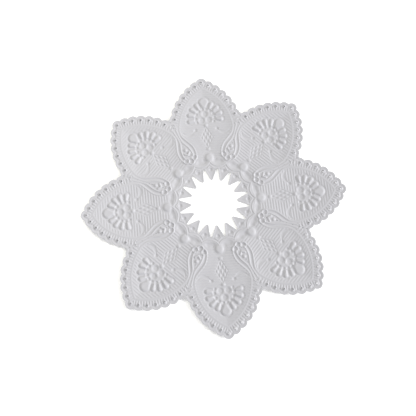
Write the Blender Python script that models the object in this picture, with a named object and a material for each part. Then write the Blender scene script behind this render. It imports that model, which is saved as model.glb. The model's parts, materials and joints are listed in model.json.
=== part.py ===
"""Lace-paper bouquet collar: a flat die-cut ring of embossed paper with eight scalloped leaves outside
and sixteen pointed teeth inside.  It is one sheet.  The ring is the fixed body, and every leaf and tooth
is a flap that turns on its own crease (a living hinge).

Units are metres, +Z is up and the sheet lies on z = 0.  Leaf 1 points along +X.
"""
import math

import bpy

# ---- driving dimensions -------------------------------------------------------------------------------
COLLAR_R = 0.100                  # centre to a leaf's tip
LEAVES = 8
TEETH = 16
SHEET = 0.0005                    # thickness over the embossing
CREASE_GAP = 0.0006               # clear strip at each crease, wider than the sheet so that a flap can turn

NOTCH_R = 0.735 * COLLAR_R        # centre to the notch between two leaves
TOOTH_ROOT_R = 0.2595 * COLLAR_R  # centre to the root between two teeth
TOOTH_TIP_R = 0.1755 * COLLAR_R   # centre to a tooth's point
TOOTH_TIP_ROUND = 0.0008          # radius of that point
TIP_STEPS = 4
ROOT_GAP = 0.0003                 # slit between the root corners of neighbouring teeth
LEAF_LIFT = math.radians(2.5)     # the leaves rise a little from the ring at rest

# The pinholes of one leaf lie on a pointed arch of two arcs.  Distances are along the leaf's axis (x) and
# across it (y); the arc on the +y side has its centre on the -y side.
ARCH_R = 0.4345 * COLLAR_R
ARCH_CENTRE_X = 0.566 * COLLAR_R
ARCH_CENTRE_Y = 0.185 * COLLAR_R
HOLES_PER_SIDE = 6                # beside the one at the tip
TIP_HOLE_STEP = math.radians(7.65)
HOLE_STEP = math.radians(8.36)
HOLE_R = 0.0065 * COLLAR_R
HOLE_SIDES = 6
SCALLOP_R = 0.0405 * COLLAR_R     # each scallop is an arc about its pinhole
SCALLOP_STEPS = 5

PAPER_COLOUR = (0.86, 0.86, 0.88, 1.0)
PAPER_ROUGHNESS = 0.75

LEAF_CREASE_R = NOTCH_R * math.cos(math.pi / LEAVES)
TOOTH_CREASE_R = TOOTH_ROOT_R * math.cos(math.pi / TEETH)
HALF_GAP = CREASE_GAP / 2


# ---- helpers ------------------------------------------------------------------------------------------
def clear_scene():
    for old in list(bpy.data.objects):
        bpy.data.objects.remove(old, do_unlink=True)


def new_collection(name):
    collection = bpy.data.collections.new(name)
    bpy.context.scene.collection.children.link(collection)
    return collection


def paper(name):
    material = bpy.data.materials.new(name)
    material.use_nodes = True
    shader = material.node_tree.nodes["Principled BSDF"]
    shader.inputs["Base Color"].default_value = PAPER_COLOUR
    shader.inputs["Roughness"].default_value = PAPER_ROUGHNESS
    shader.inputs["Metallic"].default_value = 0.0
    return material


def polar(radius, angle):
    return (radius * math.cos(angle), radius * math.sin(angle))


def arc(centre, radius, start, end, steps):
    """Points from angle start to angle end about centre, both ends included."""
    points = []
    for step in range(steps + 1):
        x, y = polar(radius, start + (end - start) * step / steps)
        points.append((centre[0] + x, centre[1] + y))
    return points


def flat_piece(name, outlines, collection):
    """A sheet of the given outlines (the later ones are holes), centred on the object's own z = 0."""
    curve = bpy.data.curves.new(name, "CURVE")
    curve.dimensions = "2D"
    curve.fill_mode = "BOTH"
    curve.extrude = SHEET / 2
    for outline in outlines:
        spline = curve.splines.new("POLY")
        spline.points.add(len(outline) - 1)
        for point, (x, y) in zip(spline.points, outline):
            point.co = (x, y, 0.0, 1.0)
        spline.use_cyclic_u = True
    piece = bpy.data.objects.new(name, curve)
    collection.objects.link(piece)
    curve.materials.append(paper(name + "_paper"))
    return piece


# ---- outlines -----------------------------------------------------------------------------------------
def polygon_outline(sides, apothem, first_corner):
    radius = apothem / math.cos(math.pi / sides)
    return [polar(radius, first_corner + 2 * math.pi * side / sides) for side in range(sides)]


def pinhole_centres():
    """From the +y end of the arch over the tip to the -y end."""
    tip_angle = math.acos(ARCH_CENTRE_Y / ARCH_R)
    half = []
    for hole in range(HOLES_PER_SIDE):
        angle = tip_angle - TIP_HOLE_STEP - hole * HOLE_STEP
        across = ARCH_R * math.cos(angle) - ARCH_CENTRE_Y
        half.append((ARCH_CENTRE_X + ARCH_R * math.sin(angle), across))
    tip = (ARCH_CENTRE_X + ARCH_R * math.sin(tip_angle), 0.0)
    return half[::-1] + [tip] + [(x, -y) for x, y in half]


def outer_cusp(first, second):
    """Where the scallops about two neighbouring pinholes meet, on the side away from the leaf."""
    dx = second[0] - first[0]
    dy = second[1] - first[1]
    span = math.hypot(dx, dy)
    rise = math.sqrt(SCALLOP_R ** 2 - (span / 2) ** 2)
    return ((first[0] + second[0]) / 2 + rise * dy / -span, (first[1] + second[1]) / 2 + rise * dx / span)


def leaf_outline(crease_x):
    """The leaf from its crease over all its scallops and back, as seen with its tip along +x."""
    centres = pinhole_centres()
    cusps = [outer_cusp(a, b) for a, b in zip(centres, centres[1:])]
    foot = math.sqrt(SCALLOP_R ** 2 - (crease_x - centres[0][0]) ** 2)
    ends = [(crease_x, centres[0][1] + foot)] + cusps + [(crease_x, centres[-1][1] - foot)]
    outline = [ends[0]]
    for centre, start, end in zip(centres, ends, ends[1:]):
        first = math.atan2(start[1] - centre[1], start[0] - centre[0])
        last = math.atan2(end[1] - centre[1], end[0] - centre[0])
        outline += arc(centre, SCALLOP_R, first, last, SCALLOP_STEPS)[1:]
    return outline


def leaf_holes():
    """The pinholes clear of the crease; the pair at the notches lies on the crease itself."""
    return [arc(centre, HOLE_R, 0.0, 2 * math.pi, HOLE_SIDES)[:-1] for centre in pinhole_centres()[1:-1]]


def tooth_outline(crease_x):
    """A tooth that points along -x: straight flanks from its root corners, tangent to a small round point."""
    base_y = crease_x * math.tan(math.pi / TEETH) - ROOT_GAP / 2
    centre_x = TOOTH_TIP_R + TOOTH_TIP_ROUND
    to_base = math.atan2(base_y, crease_x - centre_x)
    reach = math.hypot(base_y, crease_x - centre_x)
    tangent = to_base + math.acos(TOOTH_TIP_ROUND / reach)
    tip = arc((centre_x, 0.0), TOOTH_TIP_ROUND, tangent, 2 * math.pi - tangent, TIP_STEPS)
    return [(crease_x, base_y)] + tip + [(crease_x, -base_y)]


# ---- pieces -------------------------------------------------------------------------------------------
def about_crease(outline, crease_r):
    """Moves an outline so that its crease passes through the object's origin."""
    return [(x - crease_r, y) for x, y in outline]


def build_web(collection):
    outer = polygon_outline(LEAVES, LEAF_CREASE_R - HALF_GAP, math.pi / LEAVES)
    inner = polygon_outline(TEETH, TOOTH_CREASE_R + HALF_GAP, math.pi / TEETH)
    web = flat_piece("collar_web", [outer, inner], collection)
    web.location = (0.0, 0.0, SHEET / 2)


def build_leaves(collection):
    outlines = [leaf_outline(LEAF_CREASE_R + HALF_GAP)] + leaf_holes()
    outlines = [about_crease(outline, LEAF_CREASE_R) for outline in outlines]
    for number in range(LEAVES):
        angle = 2 * math.pi * number / LEAVES
        leaf = flat_piece(f"leaf_{number + 1}", outlines, collection)
        leaf.location = (*polar(LEAF_CREASE_R, angle), SHEET / 2)
        leaf.rotation_euler = (0.0, -LEAF_LIFT, angle)


def build_teeth(collection):
    outline = about_crease(tooth_outline(TOOTH_CREASE_R - HALF_GAP), TOOTH_CREASE_R)
    for number in range(TEETH):
        angle = 2 * math.pi * number / TEETH
        tooth = flat_piece(f"tooth_{number + 1:02d}", [outline], collection)
        tooth.location = (*polar(TOOTH_CREASE_R, angle), SHEET / 2)
        tooth.rotation_euler = (0.0, 0.0, angle)


def main():
    clear_scene()
    collection = new_collection("lace_paper_collar")
    build_web(collection)
    build_leaves(collection)
    build_teeth(collection)


main()
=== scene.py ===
"""Lace-paper bouquet collar: a sheet of white embossed paper, pierced and die-cut, lying on a pale table."""
import json
import math

import bpy
import numpy as np
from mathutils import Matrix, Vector
from mathutils.geometry import delaunay_2d_cdt


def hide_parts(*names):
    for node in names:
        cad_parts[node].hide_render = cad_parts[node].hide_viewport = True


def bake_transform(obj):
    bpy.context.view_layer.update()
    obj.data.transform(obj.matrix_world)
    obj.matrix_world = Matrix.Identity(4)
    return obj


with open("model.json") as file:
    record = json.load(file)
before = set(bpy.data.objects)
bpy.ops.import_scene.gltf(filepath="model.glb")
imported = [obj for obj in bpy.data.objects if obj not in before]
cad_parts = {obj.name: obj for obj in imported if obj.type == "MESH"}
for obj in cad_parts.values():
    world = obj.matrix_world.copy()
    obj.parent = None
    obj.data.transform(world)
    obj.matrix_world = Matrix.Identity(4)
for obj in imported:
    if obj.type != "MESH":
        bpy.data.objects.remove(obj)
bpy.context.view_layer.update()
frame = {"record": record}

# ---- sizes, in millimetres on a collar of 100 mm radius ----------------------------------------------
LEAVES = 8
TEETH = 16
NOTCH_R = 73.5                    # centre to the notch between two leaves
LEAF_CREASE = NOTCH_R * math.cos(math.pi / LEAVES)
JOINTS = frame["record"]["behaviour"]["joints"]
LEAF_PIVOT = next(joint["pos_m"] for joint in JOINTS if joint["name"] == "leaf_1_crease")
MM = LEAF_PIVOT[0] / LEAF_CREASE  # one such millimetre in the frame's metres
HALF_LEAF = math.pi / LEAVES      # half the angle that one leaf takes
HALF_TOOTH = math.pi / TEETH

PAPER = 0.25                      # thickness of the paper itself
LIE = 0.90                        # height of the ring's unembossed upper face
TABLE_TOP = -0.32                 # just under the lowest burrs
TEETH_DIP = 0.45                  # how far the teeth and the leaves' rims dip
RIM_DIP = 0.20
LEAF_RISE = 0.020                 # a leaf's slope beside its crease
LEAF_CURL = 0.0008                # how it steepens towards the tip
LEAF_VALLEY = 0.042               # slope of the sides of the valley along a leaf
MESH_STEP = 0.36                  # spacing of the points that carry the relief
EDGE_STEP = 0.85 * MESH_STEP      # and of those along the cut edges
SLOPE_STEP = 0.05                 # step for reading the relief's slope

# The pinholes, scallops and border of a leaf follow a pointed arch.  Each side of it is an arc whose centre
# lies ARCH_ACROSS on the other side of the leaf's axis.
ARCH_ALONG = 56.6
ARCH_ACROSS = 18.5
PIN_ARC_R = 43.45
BORDER_ARC_R = 39.3
BORDER_ARC_END = 0.06             # the border's arc stops this angle short of straight across
HOLES_PER_SIDE = 6
TIP_HOLE_STEP = math.radians(7.65)
HOLE_STEP = math.radians(8.36)
HOLE_R = 0.74
HOLE_SIDES = 16
BURR = 1.10                       # paper pushed down round each pinhole by the pin
BURR_WIDTH = 0.35
LOWEST = -0.30                    # no burr goes below this
SCALLOP_R = 4.05
SCALLOP_FOOT = 0.18               # where the first scallop starts, as an angle from straight across
PLEATS = 3                        # pressed pleats to each scallop

TOOTH_TIP = 17.45
TOOTH_TIP_ROUND = 0.95
ROOT_R = 25.9                     # centre to the middle of the round at the root between two teeth
ROOT_ROUND = 0.76
TOOTH_SEAM_R = 27.0               # the tooth pieces end on this circle
TOOTH_CREASE = 25.95 * math.cos(HALF_TOOTH)
LEAF_BEND = (-0.6, 0.9)           # two distances outside a leaf's crease; the paper is not bent between them
TOOTH_BEND = (0.5, -0.7)

HATCH_PITCH = 2.014
HATCH_START = 52.62               # a hatch ridge lies at this distance from the centre
HATCH_DEPTH, HATCH_FADE = 0.098, 0.024        # half its height, and how much less that is farther out

FESTOON_R = 8.17                  # arcs of the festoon round the teeth
FESTOON_CENTRE = 36.8             # the distance of their centres from the collar's


# ---- plane geometry ----------------------------------------------------------------------------------
def turned(x, y, angle):
    """The point (x, y) seen from axes turned by angle."""
    return x * math.cos(angle) + y * math.sin(angle), y * math.cos(angle) - x * math.sin(angle)


def arc(centre, radius, start, end, steps):
    angles = np.linspace(start, end, steps + 1)
    return [(centre[0] + radius * math.cos(a), centre[1] + radius * math.sin(a)) for a in angles]


def soft_curve(points, steps=6):
    """A smooth curve through the points (Catmull-Rom)."""
    p = np.array([points[0], *points, points[-1]], float)
    curve = []
    for i in range(1, len(p) - 2):
        for t in np.arange(steps) / steps:
            a = 2 * p[i]
            b = p[i + 1] - p[i - 1]
            c = 2 * p[i - 1] - 5 * p[i] + 4 * p[i + 1] - p[i + 2]
            d = 3 * p[i] - p[i - 1] - 3 * p[i + 1] + p[i + 2]
            curve.append(tuple((a + b * t + c * t ** 2 + d * t ** 3) / 2))
    return curve + [tuple(p[-1])]


def line_distance(x, y, path):
    """Distance to a run of straight pieces, positive on its left, and how far along it that is, 0 to 1."""
    best = np.full(x.shape, 1e9)
    signed = np.full(x.shape, 1e9)
    along = np.zeros(x.shape)
    for i in range(len(path) - 1):
        (ax, ay), (bx, by) = path[i], path[i + 1]
        ux, uy = bx - ax, by - ay
        t = np.clip(((x - ax) * ux + (y - ay) * uy) / max(ux * ux + uy * uy, 1e-12), 0, 1)
        dx, dy = x - ax - t * ux, y - ay - t * uy
        d = np.hypot(dx, dy)
        nearer = d < best
        best = np.where(nearer, d, best)
        signed = np.where(nearer, np.where(ux * dy - uy * dx >= 0, d, -d), signed)
        along = np.where(nearer, (i + t) / (len(path) - 1), along)
    return signed, along


def drop_distance(x, y, a, a_round, b, b_round):
    """Signed distance to a drop: the hull of a round at a and a round at b, negative inside."""
    ux, uy = b[0] - a[0], b[1] - a[1]
    t = np.clip(((x - a[0]) * ux + (y - a[1]) * uy) / (ux * ux + uy * uy), 0, 1)
    return np.hypot(x - a[0] - t * ux, y - a[1] - t * uy) - (a_round + (b_round - a_round) * t)


def ramp(low, high, value):
    t = np.clip((value - low) / (high - low), 0, 1)
    return t * t * (3 - 2 * t)


def ridge(distance, half_width):
    """1 on a line, rounding down to 0 at half_width from it."""
    return np.cos(math.pi / 2 * np.clip(np.abs(distance) / half_width, 0, 1)) ** 2


def pad(distance, slope):
    """1 well inside an outline and 0 on it; distance is negative inside, slope is the width of the side."""
    return ramp(0, slope, -distance)


# ---- outlines ----------------------------------------------------------------------------------------
def pinholes():
    """Centres of one leaf's pinholes, from its +y end over the tip to its -y end."""
    tip_angle = math.acos(ARCH_ACROSS / PIN_ARC_R)
    half = []
    for hole in range(HOLES_PER_SIDE):
        angle = tip_angle - TIP_HOLE_STEP - hole * HOLE_STEP
        half.append((ARCH_ALONG + PIN_ARC_R * math.sin(angle), PIN_ARC_R * math.cos(angle) - ARCH_ACROSS))
    tip = (ARCH_ALONG + PIN_ARC_R * math.sin(tip_angle), 0.0)
    return half[::-1] + [tip] + [(x, -y) for x, y in half]


PINHOLES = pinholes()
NOTCH = (NOTCH_R * math.cos(HALF_LEAF), NOTCH_R * math.sin(HALF_LEAF))


def scallop_edge():
    """The cut edge of one leaf from its +y notch over the tip to its -y notch."""
    ends = []
    for a, b in zip(PINHOLES, PINHOLES[1:]):
        span = math.dist(a, b)
        rise = math.sqrt(SCALLOP_R ** 2 - (span / 2) ** 2)
        ends.append(((a[0] + b[0]) / 2 + rise * (a[1] - b[1]) / span,
                     (a[1] + b[1]) / 2 + rise * (b[0] - a[0]) / span))
    foot = (PINHOLES[0][0] + SCALLOP_R * math.sin(SCALLOP_FOOT),
            PINHOLES[0][1] + SCALLOP_R * math.cos(SCALLOP_FOOT))
    ends = [foot] + ends + [(foot[0], -foot[1])]
    edge = [NOTCH]
    for centre, start, end in zip(PINHOLES, ends, ends[1:]):
        first = math.atan2(start[1] - centre[1], start[0] - centre[0])
        last = math.atan2(end[1] - centre[1], end[0] - centre[0])
        edge += arc(centre, SCALLOP_R, first, last, 20)
    return edge + [(NOTCH[0], -NOTCH[1])]


SCALLOPS = scallop_edge()


def tooth_edge():
    """Half of a tooth's cut edge, from its point along the flank to the middle of the round root."""
    tip = (TOOTH_TIP + TOOTH_TIP_ROUND, 0.0)
    root = (ROOT_R * math.cos(HALF_TOOTH), ROOT_R * math.sin(HALF_TOOTH))
    reach = math.dist(tip, root)
    heading = math.atan2(root[1] - tip[1], root[0] - tip[0])
    swing = math.acos((TOOTH_TIP_ROUND + ROOT_ROUND) / reach)
    touch = heading + swing
    edge = arc(tip, TOOTH_TIP_ROUND, math.pi, touch, 6)
    return edge + arc(root, ROOT_ROUND, touch - math.pi, HALF_TOOTH, 8)


TOOTH_EDGE = tooth_edge()


def leaf_border():
    """The raised line round a leaf's field, from the tip down its +y side to the ring."""
    start = math.acos(ARCH_ACROSS / BORDER_ARC_R)
    end = math.pi / 2 - BORDER_ARC_END
    arch = arc((ARCH_ALONG, -ARCH_ACROSS), BORDER_ARC_R, math.pi / 2 - start, end, 24)
    waist = [arch[-1], (54.4, 19.6), (50.2, 16.0), (46.7, 12.7), (43.8, 10.9), (40.4, 9.8), (37.6, 9.5),
             (35.4, 10.1), (33.6, 11.4), (32.0, 12.6)]
    return arch[:-1] + soft_curve(waist)


LEAF_BORDER = leaf_border()

# These run along the line between two leaves: distance from the centre, then distance to the side.
CARTOUCHE = soft_curve([(64.2, 1.2), (60.0, 1.1), (56.0, 0.9), (52.8, 1.1), (50.0, 2.1), (47.4, 3.1),
                        (44.3, 3.65), (41.6, 3.75), (39.9, 3.2)])
NECK_ARCH = soft_curve([(64.6, 2.2), (65.9, 1.5), (66.4, 0.0)])

# On the leaf itself: distance along its axis, then distance to the side.
VOLUTE = soft_curve([(58.0, 8.4), (56.2, 10.2), (54.9, 12.2), (54.3, 14.4), (55.0, 16.7), (56.7, 18.7)])


# ---- relief ------------------------------------------------------------------------------------------
# Places are (along, across) a leaf's axis, and heights and depths are from the unembossed sheet.
PALM = (67.2, 0.0)                # the palmette's tongues spread from here
PEAR = ((80.0, 0), 4.1, (77.0, 0), 2.4)       # its middle drop: head, round, foot, round
PEAR_HEIGHT = 0.50
DROP_SIDE = 1.8                   # width of the rounded side of the pear and the tongues
TONGUES_PER_SIDE = 4
TONGUE_FIRST = math.radians(28.1)
TONGUE_STEP = math.radians(23.4)
TONGUE_HEAD, TONGUE_HEAD_ROUND = 12.3, 2.05   # distance from PALM, round
TONGUE_FOOT, TONGUE_FOOT_ROUND = 9.0, 1.5
TONGUE_HEIGHT = 0.64
DOTS_PER_SIDE = 5                 # pressed dots between the tongues' feet
DOT_FIRST = math.radians(11.5)
DOT_STEP = math.radians(26)
DOT_RING = 7.25
DOT_R, DOT_DEPTH = 1.5, 0.42
DISCS = ((70.7, 0.0), (65.7, 2.72))           # pressed discs in the palmette's heart
DISC_R, DISC_DEPTH = 2.65, 0.44
DISC_LIP_R, DISC_LIP_HEIGHT = 3.2, 0.10
FAN_R = 9.6                       # the smooth ground round the heart

FIELD_SINK = 0.20                 # the hatched field is dished inside its border,
FIELD_INNER_SINK = 0.14           # deeper on the half nearer the ring
FIELD_WAIST_SINK = 0.17           # and deeper again round the outer bead
VALLEY_DEPTH = 0.16               # a hollow along the axis, under the inner bead and the lattice
FAN_SINK = 0.06
PALM_TRENCH = 0.24                # round the tongues
BORDER_HEIGHT, BORDER_FADE = 0.26, 0.18       # beside the ring, and how much less it is farther out

LATTICE_MIDDLE = 51.65
CELL_ACROSS, CELL_ALONG = 1.63, 2.97
LATTICE_REACH = 3.15              # in cells
CELL_RISE, LATTICE_SINK = 0.40, 0.27
LATTICE_GROUND_SINK = 0.06

BEAD_OUTER, BEAD_OUTER_R, BEAD_OUTER_HEIGHT = 61.4, 2.15, 0.68
BEAD_INNER, BEAD_INNER_R, BEAD_INNER_HEIGHT = 42.3, 2.0, 0.48
VOLUTE_EYE, VOLUTE_EYE_R, VOLUTE_EYE_DEPTH = (58.1, 8.35), 1.85, 0.42
VOLUTE_DEPTH = 0.24
DOME = 35.2
DOME_ALONG, DOME_ACROSS = 4.05, 3.75
DOME_HEIGHT, DOME_GROOVE_DEPTH = 0.78, 0.08

PLEAT_HEIGHT = 0.12
BOSS_R, BOSS_HEIGHT = 1.8, 0.42
RIM_IN, RIM_HEIGHT = 0.35, 0.06   # the rim's crest: its distance from the cut edge, and its height
GROOVE_IN, GROOVE_DEPTH = 1.95, 0.18

# Along the line between two leaves, then to its side.
CARTOUCHE_WALL_HEIGHT, CARTOUCHE_FLOOR_HEIGHT = 0.44, 0.10
CARTOUCHE_BEAD, CARTOUCHE_BEAD_R, CARTOUCHE_BEAD_HEIGHT = 46.2, 1.85, 0.64
CARTOUCHE_SEED, CARTOUCHE_SEED_R, CARTOUCHE_SEED_HEIGHT = 49.2, 0.8, 0.16
CARTOUCHE_CHEVRON = ((42.0, 0.0), (42.5, 0.7), (43.6, 1.9))
CARTOUCHE_CHEVRON_HEIGHT = 0.60
CARTOUCHE_HEM = ((39.6, 0.0), (40.1, 0.9), (42.0, 2.9))
CARTOUCHE_HEM_HEIGHT = 0.10
BASE_BEADS = ((38.3, 3.43), (36.2, 0.0))      # sunk beads, each in a raised ring
BASE_BEAD_R, BASE_BEAD_DEPTH = 1.35, 0.26
BASE_RING_R, BASE_RING_HEIGHT = 2.05, 0.32
NECK_ARCH_HEIGHT = 0.26
NECK_DASH = ((67.1, 2.5), (68.3, 1.7))
NECK_DASH_HEIGHT = 0.22
NECK_DIMPLE, NECK_DIMPLE_R, NECK_DIMPLE_DEPTH = 68.2, 1.0, 0.16

# Along a tooth's axis, then to its side.
TOOTH_CHEVRON = ((29.2, 0.0), (26.9, 2.4))
TOOTH_CHEVRON_HEIGHT = 0.20
TOOTH_DIMPLE, TOOTH_DIMPLE_R, TOOTH_DIMPLE_DEPTH = 25.55, 1.8, 0.48
TOOTH_FOOT_SINK = 0.22
TOOTH_RIM_HEIGHT, TOOTH_SINK = 0.05, 0.16

# Round the centre of each arc of the festoon.
FESTOON_HEIGHT = 0.20
FESTOON_GROOVE_R, FESTOON_GROOVE_DEPTH = 9.2, 0.07
LOBE_DEPTH = 0.50


def folded(x, y, half):
    """The point moved into the half sector beside its nearest axis; the axes are 2 * half apart."""
    r = np.hypot(x, y)
    angle = np.arctan2(y, x)
    angle = np.abs(angle - 2 * half * np.round(angle / (2 * half)))
    return r, r * np.cos(angle), r * np.sin(angle)


def around(centre, radius, angle):
    """A point at a distance from centre, angle measured from the leaf's axis towards +y."""
    return centre[0] + radius * math.cos(angle), centre[1] + radius * math.sin(angle)


def palmette(x, y):
    """Height of the palmette, and the signed distance to its outline."""
    pear = drop_distance(x, y, *PEAR)
    height = PEAR_HEIGHT * pad(pear, DROP_SIDE)
    outline = pear
    for tongue in range(TONGUES_PER_SIDE):
        angle = TONGUE_FIRST + TONGUE_STEP * tongue
        head, foot = around(PALM, TONGUE_HEAD, angle), around(PALM, TONGUE_FOOT, angle)
        drop = drop_distance(x, y, head, TONGUE_HEAD_ROUND, foot, TONGUE_FOOT_ROUND)
        height = np.maximum(height, TONGUE_HEIGHT * pad(drop, DROP_SIDE))
        outline = np.minimum(outline, drop)
    for dot in range(DOTS_PER_SIDE):
        cx, cy = around(PALM, DOT_RING, DOT_FIRST + DOT_STEP * dot)
        height = height - DOT_DEPTH * pad(np.hypot(x - cx, y - cy) - DOT_R, 1.2)
    for cx, cy in DISCS:
        away = np.hypot(x - cx, y - cy)
        height = height - DISC_DEPTH * pad(away - DISC_R, 1.5)
        height = height + DISC_LIP_HEIGHT * ridge(away - DISC_LIP_R, 0.8)
    return height, outline


def lattice(x, y):
    """Nine pressed cells in a lozenge, and the signed distance to the lozenge."""
    u, v = y / CELL_ACROSS, (x - LATTICE_MIDDLE) / CELL_ALONG
    lozenge = (np.abs(u) + np.abs(v) - LATTICE_REACH) * 1.4
    cell = (np.cos(math.pi * (u + v) / 2) * np.cos(math.pi * (v - u) / 2)) ** 2
    return pad(lozenge, 0.7) * (CELL_RISE * cell ** 0.75 - LATTICE_SINK), lozenge


def field(x, y, border):
    """The hatched field of a leaf with its palmette, beads, lattice, volutes and dome."""
    inside = ramp(0.2, 1.2, -border)
    palm_height, palm_outline = palmette(x, y)
    lattice_height, lozenge = lattice(x, y)
    from_palm = np.hypot(x - PALM[0], y)
    fan = pad(from_palm - FAN_R, 1.5) * ramp(61.5, 64.5, x)
    volute, along = line_distance(x, y, VOLUTE)
    volute_half = 0.45 + 0.95 * np.sin(math.pi * along) ** 1.5
    eye = np.hypot(x - VOLUTE_EYE[0], y - VOLUTE_EYE[1]) - VOLUTE_EYE_R
    dome = np.hypot((x - DOME) / DOME_ALONG, y / DOME_ACROSS)
    outer_bead = np.hypot(x - BEAD_OUTER, y)
    inner_bead = np.hypot(x - BEAD_INNER, y)

    plain = ramp(0.5, 1.5, palm_outline) * (1 - fan) * ramp(0.2, 1.0, lozenge)
    plain = plain * ramp(0.9, 1.6, dome) * ramp(1.6, 2.4, outer_bead) * ramp(1.6, 2.4, inner_bead)
    plain = plain * ramp(0.0, 0.9, eye) * ramp(0, 0.5, np.abs(volute) - volute_half) * ramp(33.6, 35.5, x)
    depth = HATCH_DEPTH - HATCH_FADE * ramp(55, 64, x)
    hatch = depth * np.cos(2 * math.pi * (x - HATCH_START) / HATCH_PITCH) * plain

    dish = -FIELD_SINK * ramp(0, 5, -border) - FIELD_INNER_SINK * ramp(1, 8, -border) * (1 - ramp(56, 62, x))
    dish = dish - FIELD_WAIST_SINK * ridge(x - 61.5, 8.0) * ramp(-1, 3, -border)
    valley = -VALLEY_DEPTH * np.exp(-(y / 3.0) ** 2) * ramp(38, 42, x) * (1 - ramp(50, 57, x))
    z = dish + valley + hatch
    trench = PALM_TRENCH * pad(palm_outline - 1.6, 1.3) * (1 - fan) * (1 - pad(palm_outline, 0.6))
    z = z - FAN_SINK * fan - trench
    z = z + palm_height + lattice_height - LATTICE_GROUND_SINK * pad(lozenge - 2, 2)
    beads = (outer_bead - BEAD_OUTER_R, inner_bead - BEAD_INNER_R)
    z = z + BEAD_OUTER_HEIGHT * pad(beads[0], 2.0) + BEAD_INNER_HEIGHT * pad(beads[1], 1.7)
    z = z - DOME_GROOVE_DEPTH * ridge(dome - 1.25, 0.4) + DOME_HEIGHT * ramp(0, 0.9, 1 - dome ** 2)
    z = z - VOLUTE_EYE_DEPTH * pad(eye, 1.6) - VOLUTE_DEPTH * pad(np.abs(volute) - volute_half - 0.4, 1.4)
    return z * inside + dish * (1 - inside)


def scallop_band(x, y, border):
    """Rim, groove, pleats and pierced bosses outside the border line."""
    rho = np.hypot(x - ARCH_ALONG, y + ARCH_ACROSS)
    theta = np.arctan2(x - ARCH_ALONG, y + ARCH_ACROSS)
    below_tip = math.acos(ARCH_ACROSS / PIN_ARC_R) - TIP_HOLE_STEP - theta
    step = np.where(below_tip < 0, below_tip / TIP_HOLE_STEP, below_tip / HOLE_STEP)
    band = ramp(0.8, 1.8, border) * ramp(61.0, 63.5, x)
    pleat_end = 1 - ramp(43.6, 45.0, rho)
    z = PLEAT_HEIGHT * np.cos(2 * math.pi * PLEATS * step) * band * pleat_end

    edge = np.abs(line_distance(x, y, SCALLOPS)[0])
    rim_zone = ramp(63.5, 66.0, x) * ramp(0.5, 2.0, border)
    z = z + rim_zone * (RIM_HEIGHT * ridge(edge - RIM_IN, 1.2) - GROOVE_DEPTH * ridge(edge - GROOVE_IN, 1.1))
    for cx, cy in PINHOLES:
        if cy > -0.1:
            z = z + BOSS_HEIGHT * pad(np.hypot(x - cx, y - cy) - BOSS_R, 1.4)
    return z


def cartouche(x, y):
    """The pear-shaped panel on the line between two leaves, and the neck above it."""
    r, side = turned(x, y, HALF_LEAF)
    side = np.abs(side)
    wall, along = line_distance(r, side, CARTOUCHE)
    z = CARTOUCHE_FLOOR_HEIGHT * pad(-wall, 1.0) * ramp(38.0, 40.0, r) * (1 - ramp(52, 58, r))
    z = z + CARTOUCHE_WALL_HEIGHT * ridge(wall, 1.0) * (0.45 + 0.55 * ramp(0.25, 0.5, along))
    z = z + CARTOUCHE_BEAD_HEIGHT * pad(np.hypot(r - CARTOUCHE_BEAD, side) - CARTOUCHE_BEAD_R, 1.5)
    z = z + CARTOUCHE_SEED_HEIGHT * pad(np.hypot(r - CARTOUCHE_SEED, side) - CARTOUCHE_SEED_R, 0.7)
    chevron = line_distance(r, side, CARTOUCHE_CHEVRON)[0]
    hem = line_distance(r, side, CARTOUCHE_HEM)[0]
    z = z + CARTOUCHE_CHEVRON_HEIGHT * ridge(chevron, 1.35) + CARTOUCHE_HEM_HEIGHT * ridge(hem, 0.7)
    for cr, cs in BASE_BEADS:
        away = np.hypot(r - cr, side - cs)
        z = z - BASE_BEAD_DEPTH * pad(away - BASE_BEAD_R, 1.1)
        z = z + BASE_RING_HEIGHT * ridge(away - BASE_RING_R, 0.85)
    arch = line_distance(r, side, NECK_ARCH)[0]
    dash = line_distance(r, side, NECK_DASH)[0]
    z = z + NECK_ARCH_HEIGHT * ridge(arch, 0.75) + NECK_DASH_HEIGHT * ridge(dash, 0.7)
    return z - NECK_DIMPLE_DEPTH * pad(np.hypot(r - NECK_DIMPLE, side) - NECK_DIMPLE_R, 0.9)


def ring_and_tooth(x, y):
    """Festoon, lobes, chevrons and teeth.  The pattern repeats with each tooth."""
    r, x, y = folded(x, y, HALF_TOOTH)
    cx, cy = FESTOON_CENTRE * math.cos(HALF_TOOTH), FESTOON_CENTRE * math.sin(HALF_TOOTH)
    away = np.hypot(x - cx, y - cy)
    hubward = ((cx - x) * math.cos(HALF_TOOTH) + (cy - y) * math.sin(HALF_TOOTH)) / np.maximum(away, 0.1)
    low_side = ramp(0.35, 0.62, hubward)
    line = FESTOON_HEIGHT * ridge(away - FESTOON_R, 0.62)
    z = low_side * (line - FESTOON_GROOVE_DEPTH * ridge(away - FESTOON_GROOVE_R, 0.7))
    lobe = ramp(1.8, 4.6, away) * (1 - ramp(5.4, 7.6, away)) * ramp(0.60, 0.94, hubward)
    z = z - LOBE_DEPTH * lobe
    chevron = line_distance(x, y, TOOTH_CHEVRON)[0]
    z = z + TOOTH_CHEVRON_HEIGHT * ridge(chevron, 0.65)
    z = z - TOOTH_FOOT_SINK * ramp(24.0, 26.5, r) * (1 - ramp(29.0, 31.0, r))
    edge = np.abs(line_distance(x, y, TOOTH_EDGE)[0])
    on_tooth = 1 - ramp(26.2, 27.0, r)
    z = z + on_tooth * (TOOTH_RIM_HEIGHT * ridge(edge - 0.35, 0.75) - TOOTH_SINK * ramp(0.3, 1.8, edge))
    return z - TOOTH_DIMPLE_DEPTH * pad(np.hypot(x - TOOTH_DIMPLE, y) - TOOTH_DIMPLE_R, 1.5)


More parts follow.
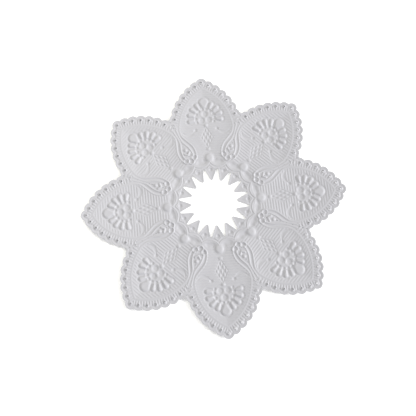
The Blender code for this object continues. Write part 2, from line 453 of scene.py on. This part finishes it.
def relief(px, py):
    """Height of the embossing anywhere on the sheet."""
    r, x, y = folded(px, py, HALF_LEAF)
    border = -line_distance(x, y, LEAF_BORDER)[0]
    on_leaf = ramp(30.5, 33.5, r)
    z = field(x, y, border) * on_leaf
    line = BORDER_HEIGHT - BORDER_FADE * ramp(50, 60, x)
    z = z + on_leaf * (line * ridge(border, 0.95) - 0.5 * line * ridge(border - 1.3, 0.8))
    z = z + scallop_band(x, y, border) + cartouche(x, y) + ring_and_tooth(x, y)
    return z


def form(px, py):
    """The lie of the whole sheet: dipping teeth, a flat ring, rising leaves with a valley and a low rim."""
    r, x, y = folded(px, py, HALF_LEAF)
    rise = np.clip(x - LEAF_CREASE, 0, None)
    valley = ramp(45, 72, x) * (np.sqrt(y * y + 4.0) - 2.0) * LEAF_VALLEY
    edge = np.abs(line_distance(x, y, SCALLOPS)[0])
    dip = TEETH_DIP * (1 - ramp(20, 29, r)) + RIM_DIP * (1 - ramp(0.2, 3.4, edge)) * ramp(66, 70, x)
    return LIE - dip + LEAF_RISE * rise + LEAF_CURL * rise ** 2 + valley


def surface(x, y):
    return form(x, y) + relief(x, y)


def underside(x, y):
    """The lower face: the same embossing, with a burr under each pinhole."""
    burr = np.zeros(x.shape)
    for cx, cy in PINHOLES:
        burr = np.maximum(burr, pad(np.hypot(x - cx, y - cy) - HOLE_R - BURR_WIDTH, 0.6 * BURR_WIDTH))
    return np.maximum(surface(x, y) - PAPER - BURR * burr, LOWEST)


def normals_of(height, x, y):
    """Upward normals of a height function, read from its slope."""
    h = SLOPE_STEP
    slope_x = (height(x + h, y) - height(x - h, y)) / (2 * h)
    slope_y = (height(x, y + h) - height(x, y - h)) / (2 * h)
    normals = np.stack([-slope_x, -slope_y, np.ones_like(x)], 1)
    return normals / np.linalg.norm(normals, axis=1, keepdims=True)


# ---- sheets ------------------------------------------------------------------------------------------
def resampled(path, step):
    """The same path with points about step apart, both ends kept."""
    p = np.array(path, float)
    lengths = np.concatenate([[0], np.cumsum(np.hypot(*np.diff(p, axis=0).T))])
    count = max(2, int(round(lengths[-1] / step)) + 1)
    at = np.linspace(0, lengths[-1], count)
    return np.stack([np.interp(at, lengths, p[:, 0]), np.interp(at, lengths, p[:, 1])], 1)


def closed_loop(paths, step):
    """One loop of points through paths that follow each other."""
    return np.concatenate([resampled(path, step)[:-1] for path in paths])


def inside_loop(x, y, loop):
    """Which points lie inside a loop, by counting crossings."""
    inside = np.zeros(x.shape, bool)
    for (ax, ay), (bx, by) in zip(loop, np.roll(loop, -1, axis=0)):
        if ay != by:
            inside ^= ((ay > y) != (by > y)) & (x < (bx - ax) * (y - ay) / (by - ay) + ax)
    return inside


def clear_of(points, loops, gap):
    """Which points are further than gap from every loop."""
    keep = np.ones(len(points), bool)
    for loop in loops:
        closed = [tuple(p) for p in loop] + [tuple(loop[0])]
        keep &= np.abs(line_distance(points[:, 0], points[:, 1], closed)[0]) > gap
    return keep


def flat_mesh(outer, holes, rings=()):
    """Triangles over an outline with holes: points, triangles, and the loops as runs of point numbers."""
    low, high = outer.min(0), outer.max(0)
    row_height = MESH_STEP * math.sqrt(3) / 2
    rows = []
    for row in range(int((high[0] - low[0]) / row_height) + 1):
        across = np.arange(-high[1] - MESH_STEP, high[1] + MESH_STEP, MESH_STEP) + (row % 2) * MESH_STEP / 2
        rows.append(np.stack([np.full(across.shape, low[0] + row * row_height), across], 1))
    grid = np.concatenate(rows)
    grid = grid[inside_loop(grid[:, 0], grid[:, 1], outer)]
    for hole in holes:
        grid = grid[~inside_loop(grid[:, 0], grid[:, 1], hole)]
    grid = grid[clear_of(grid, [outer] + holes + list(rings), MESH_STEP * 0.5)]

    loops, edges, start = [], [], 0
    for loop in [outer] + holes:
        run = list(range(start, start + len(loop)))
        loops.append(run)
        edges += list(zip(run, run[1:] + run[:1]))
        start += len(loop)
    points = np.concatenate([outer] + holes + list(rings) + [grid])
    found = delaunay_2d_cdt([Vector(p) for p in points], edges, [], 0, 1e-6)
    places, triangles = found[0], np.array(found[2])
    points = np.array([tuple(p) for p in places])
    middle = points[triangles].mean(1)
    keep = inside_loop(middle[:, 0], middle[:, 1], outer)
    for hole in holes:
        keep &= ~inside_loop(middle[:, 0], middle[:, 1], hole)
    triangles = triangles[keep]
    a, b, c = points[triangles[:, 0]], points[triangles[:, 1]], points[triangles[:, 2]]
    turn = (b[:, 0] - a[:, 0]) * (c[:, 1] - a[:, 1]) - (b[:, 1] - a[:, 1]) * (c[:, 0] - a[:, 0])
    triangles[turn < 0] = triangles[turn < 0][:, ::-1]
    return points, triangles, loops


def sheet_mesh(name, flat):
    """A closed sheet of paper over a flat mesh, with the embossing on both faces."""
    points, triangles, loops = flat
    count = len(points)
    x, y = points[:, 0], points[:, 1]
    normals = normals_of(surface, x, y)
    under = -normals_of(underside, x, y)
    vertices = np.concatenate([np.stack([x, y, surface(x, y)], 1), np.stack([x, y, underside(x, y)], 1)]) * MM
    walls = []
    for number, run in enumerate(loops):
        ring = np.array(run)
        after = np.roll(ring, -1)
        quad = np.stack([ring, after, after + count, ring + count], 1)
        area = (x[ring] * y[after] - x[after] * y[ring]).sum()
        counter_clockwise = area > 0
        walls.append(quad[:, ::-1] if counter_clockwise == (number == 0) else quad)
    walls = np.concatenate(walls)
    faces = [tuple(t) for t in triangles] + [tuple(t) for t in triangles[:, ::-1] + count]
    faces += [tuple(q) for q in walls]

    mesh = bpy.data.meshes.new(name)
    mesh.from_pydata([tuple(v) for v in vertices], [], faces)
    mesh.polygons.foreach_set("use_smooth", np.ones(len(faces), bool))
    sides = []
    for a, b, c, d in walls:
        edge = vertices[b] - vertices[a]
        drop = vertices[c] - vertices[b]
        out = np.cross(edge, drop)
        sides += [out / np.linalg.norm(out)] * 4
    faces_normals = [normals[triangles.ravel()], under[triangles[:, ::-1].ravel()], np.array(sides)]
    mesh.normals_split_custom_set([tuple(n) for n in np.concatenate(faces_normals)])
    return mesh


def circle(centre, radius, sides):
    return np.array(arc(centre, radius, 0, 2 * math.pi, sides)[:-1])


def leaf_flat():
    """One leaf with its share of the ring."""
    ring = arc((0, 0), TOOTH_SEAM_R, -HALF_LEAF, HALF_LEAF, 64)
    seam = [(TOOTH_SEAM_R * math.cos(HALF_LEAF), TOOTH_SEAM_R * math.sin(HALF_LEAF)), NOTCH]
    back = [(x, -y) for x, y in reversed(seam)]
    outer = closed_loop([ring, seam, SCALLOPS, back], EDGE_STEP)
    holes = [circle(centre, HOLE_R, HOLE_SIDES) for centre in PINHOLES]
    rings = []
    for centre in PINHOLES:
        rings.append(circle(centre, HOLE_R + 0.4 * BURR_WIDTH, HOLE_SIDES))
        rings.append(circle(centre, HOLE_R + BURR_WIDTH, HOLE_SIDES + 2))
    return flat_mesh(outer, holes, rings)


def tooth_flat():
    """One tooth with its share of the ring's inner edge."""
    seam_end = (TOOTH_SEAM_R * math.cos(HALF_TOOTH), TOOTH_SEAM_R * math.sin(HALF_TOOTH))
    seam = [TOOTH_EDGE[-1], seam_end]
    ring = arc((0, 0), TOOTH_SEAM_R, HALF_TOOTH, -HALF_TOOTH, 32)
    lower = [(x, -y) for x, y in reversed(TOOTH_EDGE)]
    back = [(x, -y) for x, y in reversed(seam)]
    return flat_mesh(closed_loop([TOOTH_EDGE, seam, ring, back, lower], EDGE_STEP), [])


def copied(name, pattern, angle):
    """A piece with its own copy of the pattern mesh, turned about the collar's centre."""
    mesh = pattern.copy()
    mesh.name = name
    piece = bpy.data.objects.new(name, mesh)
    bpy.context.scene.collection.objects.link(piece)
    piece.rotation_euler = (0, 0, angle)
    return piece


def radial(distance, angle):
    return (distance * MM * math.cos(angle), distance * MM * math.sin(angle), LIE * MM)


def make_collar(paper):
    leaf_pattern = sheet_mesh("leaf_pattern", leaf_flat())
    tooth_pattern = sheet_mesh("tooth_pattern", tooth_flat())
    for pattern in (leaf_pattern, tooth_pattern):
        pattern.materials.append(paper)
    for number in range(LEAVES):
        angle = 2 * HALF_LEAF * number
        piece = copied(f"paper_leaf_{number + 1}", leaf_pattern, angle)
        start, end = (radial(LEAF_CREASE + out, angle) for out in LEAF_BEND)
        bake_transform(piece)
        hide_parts("collar_web", f"leaf_{number + 1}")
    for number in range(TEETH):
        angle = 2 * HALF_TOOTH * number
        piece = copied(f"paper_tooth_{number + 1:02d}", tooth_pattern, angle)
        start, end = (radial(TOOTH_CREASE + out, angle) for out in TOOTH_BEND)
        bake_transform(piece)
        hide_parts(f"tooth_{number + 1:02d}")
    bpy.data.meshes.remove(leaf_pattern)
    bpy.data.meshes.remove(tooth_pattern)


# ---- materials ---------------------------------------------------------------------------------------
class Value:
    """A socket whose sums and products add Math nodes."""

    def __init__(self, nodes, socket):
        self.nodes = nodes
        self.socket = socket

    def _math(self, operation, first, second):
        return self.nodes.add("ShaderNodeMath", {"operation": operation}, {0: first, 1: second})

    def __add__(self, other):
        return self._math("ADD", self, other)

    def __radd__(self, other):
        return self._math("ADD", other, self)

    def __mul__(self, other):
        return self._math("MULTIPLY", self, other)

    def __rmul__(self, other):
        return self._math("MULTIPLY", other, self)


class Nodes:
    """The node tree of one material."""

    def __init__(self, name):
        self.material = bpy.data.materials.new(name)
        self.material.use_nodes = True
        self.tree = self.material.node_tree
        self.shader = self.tree.nodes["Principled BSDF"]

    def feed(self, socket, value):
        if isinstance(value, Value):
            self.tree.links.new(value.socket, socket)
        else:
            socket.default_value = value

    def add(self, kind, settings, inputs, output=0):
        node = self.tree.nodes.new(kind)
        for name, setting in settings.items():
            setattr(node, name, setting)
        for name, value in inputs.items():
            self.feed(node.inputs[name], value)
        return Value(self, node.outputs[output])

    def blend_colours(self, factor, first, second):
        return self.add("ShaderNodeMix", {"data_type": "RGBA"}, {0: factor, 6: first, 7: second}, 2)

    def surface(self, **inputs):
        for name, value in inputs.items():
            self.feed(self.shader.inputs[name.replace("_", " ")], value)
        return self.material


PAPER_TINTS = ((0.372, 0.371, 0.398, 1), (0.422, 0.420, 0.441, 1))
TABLE_TINTS = ((0.94, 0.94, 0.94, 1), (0.96, 0.96, 0.96, 1))
TABLE_GLOW = 0.12


def paper_material():
    """Matt white paper, with faint clouding and a fine fibrous tooth."""
    nodes = Nodes("lace_paper")
    place = nodes.add("ShaderNodeTexCoord", {}, {}, "Object")
    clouds = nodes.add("ShaderNodeTexNoise", {}, {"Vector": place, "Scale": 45.0, "Detail": 3.0})
    weave = {"Vector": place, "Scale": 900.0, "Detail": 4.0, "Distortion": 1.5}
    fibres = nodes.add("ShaderNodeTexNoise", {}, weave)
    tooth = nodes.add("ShaderNodeTexNoise", {}, {"Vector": place, "Scale": 2600.0, "Detail": 2.0})
    mottling = 0.55 * clouds + 0.45 * fibres
    colour = nodes.blend_colours(mottling, *PAPER_TINTS)
    height = 0.6 * fibres + 0.4 * tooth
    bump_inputs = {"Strength": 0.25, "Distance": 0.00006, "Height": height}
    bump = nodes.add("ShaderNodeBump", {}, bump_inputs, "Normal")
    return nodes.surface(Base_Color=colour, Roughness=0.50 + 0.16 * fibres, Normal=bump)


def table_material():
    """A pale table with a weak glow, which keeps it white beside the paper."""
    nodes = Nodes("pale_table")
    place = nodes.add("ShaderNodeTexCoord", {}, {}, "Object")
    grain = nodes.add("ShaderNodeTexNoise", {}, {"Vector": place, "Scale": 30.0, "Detail": 2.0})
    colour = nodes.blend_colours(grain, *TABLE_TINTS)
    glow = {"Emission_Color": (1, 1, 1, 1), "Emission_Strength": TABLE_GLOW}
    return nodes.surface(Base_Color=colour, Roughness=0.9, **glow)


# ---- stage, light and camera -------------------------------------------------------------------------
# Metres and watts here.  The key comes from the camera's right, the fill from its upper left.
TABLE_HALF = 3.0
KEY_ELEVATION = math.radians(22)
KEY_SOFTNESS = math.radians(28)
KEY_STRENGTH = 4.0
SKY_STRENGTH = 0.80
FILL_POWER = 0.87
FILL_SIZE = 0.3
FILL_AZIMUTH = math.radians(135)
FILL_ELEVATION = math.radians(45)
FILL_DISTANCE = 0.5
FILL_COLOUR = (1.0, 0.97, 0.83)

CAMERA_AZIMUTH = math.radians(-6.16)
CAMERA_ELEVATION = math.radians(78.57)
CAMERA_DISTANCE = 377.0           # in the collar's millimetres
SENSOR = 36.0
LENS = 43.39
SHIFT_X = -0.0150
SHIFT_Y = -0.01374


def make_stage():
    bpy.ops.mesh.primitive_plane_add(size=2 * TABLE_HALF, location=(0, 0, TABLE_TOP * MM))
    table = bpy.context.object
    table.name = "table"
    table.data.materials.append(table_material())


def make_lights():
    world = bpy.data.worlds.new("soft_room")
    world.use_nodes = True
    world.node_tree.nodes["Background"].inputs["Color"].default_value = (1.0, 1.0, 1.0, 1)
    world.node_tree.nodes["Background"].inputs["Strength"].default_value = SKY_STRENGTH
    bpy.context.scene.world = world
    key_data = bpy.data.lights.new("key", "SUN")
    key_data.energy = KEY_STRENGTH
    key_data.angle = KEY_SOFTNESS
    key = bpy.data.objects.new("key", key_data)
    bpy.context.scene.collection.objects.link(key)
    key.rotation_euler = (0, math.pi / 2 - KEY_ELEVATION, CAMERA_AZIMUTH)
    fill_data = bpy.data.lights.new("fill", "AREA")
    fill_data.shape = "DISK"
    fill_data.size = FILL_SIZE
    fill_data.energy = FILL_POWER
    fill_data.color = FILL_COLOUR
    fill = bpy.data.objects.new("fill", fill_data)
    bpy.context.scene.collection.objects.link(fill)
    turn = CAMERA_AZIMUTH + FILL_AZIMUTH
    flat = FILL_DISTANCE * math.cos(FILL_ELEVATION)
    fill.location = (flat * math.cos(turn), flat * math.sin(turn), FILL_DISTANCE * math.sin(FILL_ELEVATION))
    fill.rotation_euler = (0, math.pi / 2 - FILL_ELEVATION, turn)


def make_camera():
    data = bpy.data.cameras.new("camera")
    data.sensor_width = SENSOR
    data.lens = LENS
    data.shift_x = SHIFT_X
    data.shift_y = SHIFT_Y
    data.clip_start = 0.01
    data.clip_end = 20.0
    camera = bpy.data.objects.new("camera", data)
    bpy.context.scene.collection.objects.link(camera)
    a, e = CAMERA_AZIMUTH, CAMERA_ELEVATION
    back = Vector((math.sin(a) * math.cos(e), -math.cos(a) * math.cos(e), math.sin(e)))
    camera.location = Vector((0, 0, LIE * MM)) + back * CAMERA_DISTANCE * MM
    camera.rotation_mode = "QUATERNION"
    camera.rotation_quaternion = (-back).to_track_quat("-Z", "Y")
    bpy.context.scene.camera = camera


bpy.context.scene.view_settings.view_transform = "Standard"
make_collar(paper_material())
make_stage()
make_lights()
make_camera()
